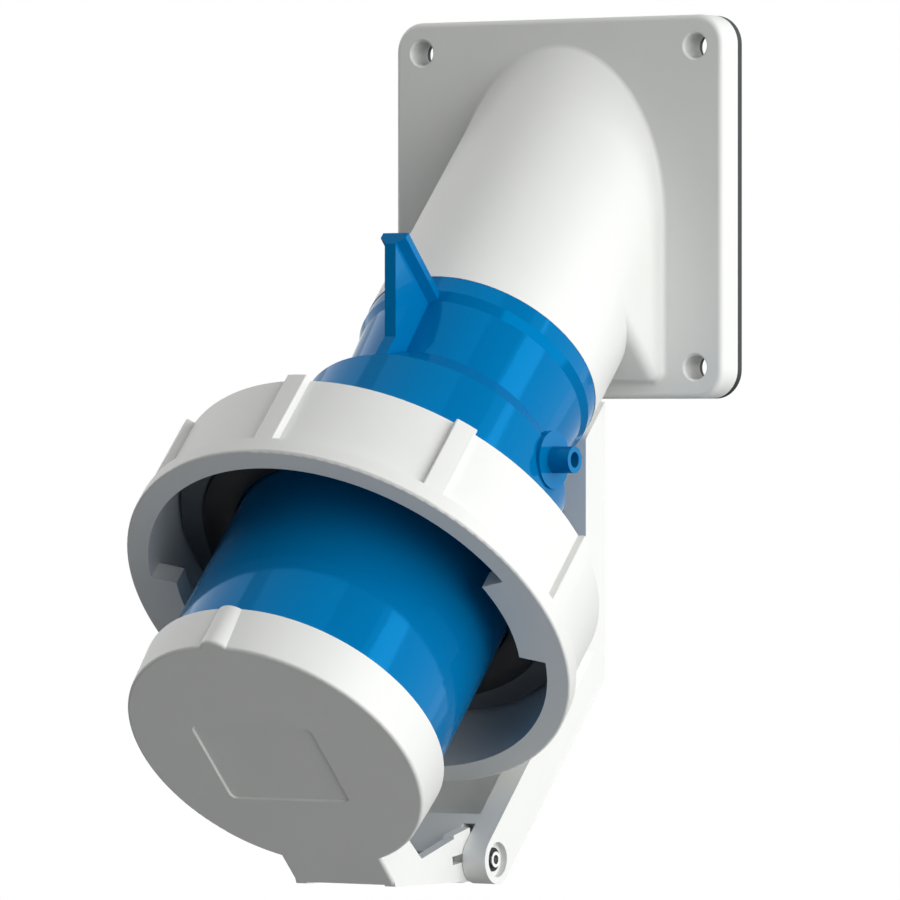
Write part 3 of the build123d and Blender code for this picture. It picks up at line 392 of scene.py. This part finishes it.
gloss = add_node(tree, "ShaderNodeMapRange", {"To Min": 0.06, "To Max": 0.1}, {"Value": flow.outputs["Fac"]})
peel = add_node(
    tree, "ShaderNodeTexNoise", {"Scale": 1000 / 2.5, "Detail": 1.0}, {"Vector": place.outputs["Object"]}
)
ripple = add_node(
    tree, "ShaderNodeBump", {"Strength": 0.25, "Distance": 0.00002}, {"Height": peel.outputs["Fac"]}
)
tree.links.new(tone.outputs[2], shader.inputs["Base Color"])
tree.links.new(gloss.outputs["Result"], shader.inputs["Roughness"])
tree.links.new(ripple.outputs["Normal"], shader.inputs["Normal"])
dress("shroud_body", blue_polyamide)
dress("inlet_sleeve", blue_polyamide)

# Contact carrier
# The insulating disc that holds the pins, moulded in dark grey glass-filled polyamide. The glass
# fibres come to the skin as short, slightly lighter flecks and make it matt.
# Glass-filled polyamide: charcoal grey, matt, with fine flecks and a coarse, dry touch.
carrier_polyamide = bpy.data.materials.new("glass_filled_polyamide")
carrier_polyamide.use_nodes = True
tree = carrier_polyamide.node_tree
shader = tree.nodes["Principled BSDF"]
shader.inputs["IOR"].default_value = 1.53
place = add_node(tree, "ShaderNodeTexCoord")
fibres = add_node(
    tree, "ShaderNodeTexNoise", {"Scale": 1000 / 0.8, "Detail": 6.0, "Roughness": 0.7},
    {"Vector": place.outputs["Object"]},
)
tone = add_node(
    tree,
    "ShaderNodeMix",
    {"data_type": "RGBA", 6: linear("#26292B"), 7: linear("#3A3E41")},
    {0: fibres.outputs["Fac"]},
)
dry = add_node(tree, "ShaderNodeMapRange", {"To Min": 0.5, "To Max": 0.72}, {"Value": fibres.outputs["Fac"]})
rough_skin = add_node(
    tree, "ShaderNodeBump", {"Strength": 0.5, "Distance": 0.00003}, {"Height": fibres.outputs["Fac"]}
)
tree.links.new(tone.outputs[2], shader.inputs["Base Color"])
tree.links.new(dry.outputs["Result"], shader.inputs["Roughness"])
tree.links.new(rough_skin.outputs["Normal"], shader.inputs["Normal"])
dress("contact_carrier", carrier_polyamide)

# Contact pins
# Five pins turned from brass bar and nickel plated. The tool leaves fine rings round each pin, which
# the plating follows, so the highlight breaks up along the pin.
# Nickel plate: a warm white metal, bright, with rings a tenth of a millimetre apart drawn three times
# as coarse so that they show.
nickel = bpy.data.materials.new("nickel_plated_brass")
nickel.use_nodes = True
tree = nickel.node_tree
shader = tree.nodes["Principled BSDF"]
shader.inputs["Metallic"].default_value = 1.0
place = add_node(tree, "ShaderNodeTexCoord")
along = add_node(
    tree, "ShaderNodeMapping", {"Rotation": (math.radians(45), 0, 0), "Scale": (0.02, 0.02, 1)},
    {"Vector": place.outputs["Object"]},
)
rings = add_node(
    tree, "ShaderNodeTexNoise", {"Scale": 1000 / 0.3, "Detail": 2.0}, {"Vector": along.outputs["Vector"]}
)
stain = add_node(
    tree, "ShaderNodeTexNoise", {"Scale": 1000 / 5, "Detail": 3.0}, {"Vector": place.outputs["Object"]}
)
tone = add_node(
    tree,
    "ShaderNodeMix",
    {"data_type": "RGBA", 6: linear("#C9C3B4"), 7: linear("#D6D1C5")},
    {0: stain.outputs["Fac"]},
)
bright = add_node(
    tree, "ShaderNodeMapRange", {"To Min": 0.16, "To Max": 0.3}, {"Value": stain.outputs["Fac"]}
)
turning = add_node(
    tree, "ShaderNodeBump", {"Strength": 0.3, "Distance": 0.00001}, {"Height": rings.outputs["Fac"]}
)
tree.links.new(tone.outputs[2], shader.inputs["Base Color"])
tree.links.new(bright.outputs["Result"], shader.inputs["Roughness"])
tree.links.new(turning.outputs["Normal"], shader.inputs["Normal"])
for name in ("earth_pin", "neutral_pin", "phase_pin_1", "phase_pin_2", "phase_pin_3"):
    dress(name, nickel)

# Terminal, carrier and bracket screws
# Cold-headed steel screws, zinc plated and passivated. The plating is slightly cloudy and blue-white,
# with small bright and dull patches.
# Zinc plate: a cool light grey metal, half bright, mottled a millimetre or two across.
zinc_plate = bpy.data.materials.new("zinc_plated_steel")
zinc_plate.use_nodes = True
tree = zinc_plate.node_tree
shader = tree.nodes["Principled BSDF"]
shader.inputs["Metallic"].default_value = 1.0
place = add_node(tree, "ShaderNodeTexCoord")
patches = add_node(
    tree, "ShaderNodeTexNoise", {"Scale": 1000 / 1.5, "Detail": 4.0}, {"Vector": place.outputs["Object"]}
)
tone = add_node(
    tree,
    "ShaderNodeMix",
    {"data_type": "RGBA", 6: linear("#B4B9BD"), 7: linear("#C6CACC")},
    {0: patches.outputs["Fac"]},
)
cloudy = add_node(
    tree, "ShaderNodeMapRange", {"To Min": 0.24, "To Max": 0.42}, {"Value": patches.outputs["Fac"]}
)
skin = add_node(
    tree, "ShaderNodeBump", {"Strength": 0.3, "Distance": 0.00001}, {"Height": patches.outputs["Fac"]}
)
tree.links.new(tone.outputs[2], shader.inputs["Base Color"])
tree.links.new(cloudy.outputs["Result"], shader.inputs["Roughness"])
tree.links.new(skin.outputs["Normal"], shader.inputs["Normal"])
for name in ("terminal_screws", "carrier_screws", "bracket_screws"):
    dress(name, zinc_plate)

# Locking ring
# The bayonet ring with its grip panels and two inner lugs is one moulding of the same pale polyamide
# as the elbow, with the same satin skin. It snaps over the ramps behind the sleeve's flange.
dress("locking_ring", pale_polyamide)

# Lid bracket
# The bracket hangs under the elbow and carries the lid's hinge. It is a hollow-backed moulding of the
# same pale polyamide, held by two screws in the elbow's block.
dress("lid_bracket", pale_polyamide)

# Lid
# The round cap with its grip rib, its bare label field and its two hinge ears is one moulding. Its
# tool is eroded finer than the elbow's, so its grain is closer and its face a little smoother.
# Lid polyamide: the elbow's pale grey with a finer grain, a third of a millimetre across.
lid_polyamide = pale_polyamide.copy()
lid_polyamide.name = "moulded_lid_polyamide"
lid_nodes = lid_polyamide.node_tree.nodes
lid_nodes[grain_name].inputs["Scale"].default_value = 1000 / 0.35
lid_nodes[satin_name].inputs["To Min"].default_value = 0.36
lid_nodes[satin_name].inputs["To Max"].default_value = 0.48
dress("lid", lid_polyamide)

# Hinge pin
# A steel pin, ground and bright, with a neck and a dimple at each end. It runs through the bracket's
# cheeks and the lid's ears, and the clips hold it.
# Ground steel: a neutral bright metal with fine rings across the pin's length.
ground_steel = bpy.data.materials.new("ground_steel")
ground_steel.use_nodes = True
tree = ground_steel.node_tree
shader = tree.nodes["Principled BSDF"]
shader.inputs["Metallic"].default_value = 1.0
place = add_node(tree, "ShaderNodeTexCoord")
along = add_node(
    tree, "ShaderNodeMapping", {"Scale": (1, 0.03, 0.03)}, {"Vector": place.outputs["Object"]}
)
rings = add_node(
    tree, "ShaderNodeTexNoise", {"Scale": 1000 / 0.25, "Detail": 2.0}, {"Vector": along.outputs["Vector"]}
)
tone = add_node(
    tree,
    "ShaderNodeMix",
    {"data_type": "RGBA", 6: linear("#C2C3C3"), 7: linear("#D4D5D5")},
    {0: rings.outputs["Fac"]},
)
bright = add_node(
    tree, "ShaderNodeMapRange", {"To Min": 0.2, "To Max": 0.34}, {"Value": rings.outputs["Fac"]}
)
grinding = add_node(
    tree, "ShaderNodeBump", {"Strength": 0.3, "Distance": 0.00001}, {"Height": rings.outputs["Fac"]}
)
tree.links.new(tone.outputs[2], shader.inputs["Base Color"])
tree.links.new(bright.outputs["Result"], shader.inputs["Roughness"])
tree.links.new(grinding.outputs["Normal"], shader.inputs["Normal"])
dress("hinge_pin", ground_steel)

# Hinge clips
# Push-on washers of blackened spring steel at the ends of the pin, inside the counterbores.
# Blackened steel: a dark oxide skin with a weak metal sheen that is rubbed lighter in places.
black_oxide = bpy.data.materials.new("blackened_spring_steel")
black_oxide.use_nodes = True
tree = black_oxide.node_tree
shader = tree.nodes["Principled BSDF"]
shader.inputs["Metallic"].default_value = 1.0
place = add_node(tree, "ShaderNodeTexCoord")
rubbed = add_node(
    tree, "ShaderNodeTexNoise", {"Scale": 1000 / 1.0, "Detail": 4.0}, {"Vector": place.outputs["Object"]}
)
tone = add_node(
    tree,
    "ShaderNodeMix",
    {"data_type": "RGBA", 6: linear("#1E1F20"), 7: linear("#3C3E3F")},
    {0: rubbed.outputs["Fac"]},
)
sheen = add_node(
    tree, "ShaderNodeMapRange", {"To Min": 0.35, "To Max": 0.55}, {"Value": rubbed.outputs["Fac"]}
)
skin = add_node(
    tree, "ShaderNodeBump", {"Strength": 0.3, "Distance": 0.00001}, {"Height": rubbed.outputs["Fac"]}
)
tree.links.new(tone.outputs[2], shader.inputs["Base Color"])
tree.links.new(sheen.outputs["Result"], shader.inputs["Roughness"])
tree.links.new(skin.outputs["Normal"], shader.inputs["Normal"])
dress("hinge_clips", black_oxide)

# Lid spring
# A torsion spring wound on the hinge pin in the bracket's pocket. Six turns and a third join a
# straight tail, which lies on the pocket's floor, to a leg that is bent twice and sits in an ear of
# the lid. It is coiled from drawn wire.
# Drawn spring wire: a mid grey metal with streaks along the drawing and a trace of oil.
drawn_wire = bpy.data.materials.new("drawn_spring_wire")
drawn_wire.use_nodes = True
tree = drawn_wire.node_tree
shader = tree.nodes["Principled BSDF"]
shader.inputs["Metallic"].default_value = 1.0
place = add_node(tree, "ShaderNodeTexCoord")
streaks = add_node(
    tree, "ShaderNodeMapping", {"Rotation": (math.radians(45), 0, 0), "Scale": (1, 0.1, 0.1)},
    {"Vector": place.outputs["Object"]},
)
drawing = add_node(
    tree, "ShaderNodeTexNoise", {"Scale": 1000 / 0.2, "Detail": 3.0}, {"Vector": streaks.outputs["Vector"]}
)
tone = add_node(
    tree,
    "ShaderNodeMix",
    {"data_type": "RGBA", 6: linear("#8C8F92"), 7: linear("#A9ACAE")},
    {0: drawing.outputs["Fac"]},
)
oily = add_node(
    tree, "ShaderNodeMapRange", {"To Min": 0.22, "To Max": 0.38}, {"Value": drawing.outputs["Fac"]}
)
marks = add_node(
    tree, "ShaderNodeBump", {"Strength": 0.3, "Distance": 0.00001}, {"Height": drawing.outputs["Fac"]}
)
tree.links.new(tone.outputs[2], shader.inputs["Base Color"])
tree.links.new(oily.outputs["Result"], shader.inputs["Roughness"])
tree.links.new(marks.outputs["Normal"], shader.inputs["Normal"])

# The spring is drawn about the hinge axis: X along the axis, Y away from the sleeve, Z out of it.
hinge_height = -0.06445
hinge_station = 0.1498
hinge_place = sleeve_place @ Matrix.Translation((0, hinge_height, hinge_station))
wire_r = 0.00055
coil_r = 0.00345
coil_half = 0.003685
wire_turn = math.radians(6 * 360 + 129.3)
bpy.ops.object.select_all(action="DESELECT")
bpy.ops.mesh.primitive_circle_add(vertices=14, radius=wire_r, fill_type="NOTHING")
spring = bpy.context.object
spring.name = "lid_torsion_spring"
bpy.ops.object.mode_set(mode="EDIT")
bpy.ops.transform.translate(value=(-coil_half, -coil_r, 0))
bpy.ops.object.mode_set(mode="OBJECT")
winding = spring.modifiers.new("winding", "SCREW")
winding.axis = "X"
winding.angle = -wire_turn
winding.screw_offset = 2 * coil_half
winding_steps = 190
winding.steps = winding_steps
winding.render_steps = winding_steps
bpy.ops.object.modifier_apply(modifier="winding")


def open_end(test):
    """Selects in edit mode the open rim of the wire that passes the test."""
    bpy.ops.mesh.select_all(action="DESELECT")
    bpy.ops.mesh.select_non_manifold(extend=False, use_wire=False, use_multi_face=False)
    bpy.ops.object.mode_set(mode="OBJECT")
    for corner in spring.data.vertices:
        corner.select = corner.select and test(corner.co)
    for edge in spring.data.edges:
        edge.select = all(spring.data.vertices[i].select for i in edge.vertices)
    for face in spring.data.polygons:
        face.select = False
    bpy.ops.object.mode_set(mode="EDIT")


def draw_out(x, y, z):
    """Extrudes the selected rim of the wire by a straight run."""
    bpy.ops.mesh.extrude_region_move(TRANSFORM_OT_translate={"value": (x, y, z)})


bpy.ops.object.mode_set(mode="EDIT")
bpy.ops.mesh.select_mode(type="VERT")
# The tail: straight back along the pocket's floor.
tail_run = 0.008
open_end(lambda point: point.x < 0)
draw_out(0, 0, -tail_run)
bpy.ops.mesh.edge_face_add()
# The leg: bent outwards, straight through the ear's slot, then bent to lie in it.
open_end(lambda point: point.x > 0)
out_turn = math.radians(39.3)
leg_turn = math.radians(38.0)
bend_r = 0.001
bend_centre = (coil_half, (coil_r + bend_r) * math.sin(out_turn), (coil_r + bend_r) * math.cos(out_turn))
bpy.ops.mesh.spin(steps=8, angle=math.radians(91.3), center=bend_centre, axis=(1, 0, 0))
leg_run = 0.00225
draw_out(0, leg_run * math.sin(leg_turn), leg_run * math.cos(leg_turn))
leg_reach = 0.0067
leg_aside = 0.0011
leg_y = leg_reach * math.sin(leg_turn) + leg_aside * math.cos(leg_turn)
leg_z = leg_reach * math.cos(leg_turn) - leg_aside * math.sin(leg_turn)
bpy.ops.mesh.spin(
    steps=8,
    angle=math.radians(90),
    center=(coil_half + bend_r, leg_y, leg_z),
    axis=(0, math.cos(leg_turn), -math.sin(leg_turn)),
)
leg_tip_x = 0.0134
draw_out(leg_tip_x - coil_half - bend_r, 0, 0)
bpy.ops.mesh.edge_face_add()
bpy.ops.mesh.select_all(action="SELECT")
bpy.ops.mesh.remove_doubles(threshold=0.00001)
bpy.ops.mesh.normals_make_consistent(inside=False)
bpy.ops.object.mode_set(mode="OBJECT")
bpy.ops.object.shade_smooth_by_angle(angle=math.radians(40))
spring.matrix_world = hinge_place
bpy.ops.object.transform_apply(location=True, rotation=True, scale=True)
spring.data.materials.append(drawn_wire)
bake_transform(spring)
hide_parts("lid_spring")
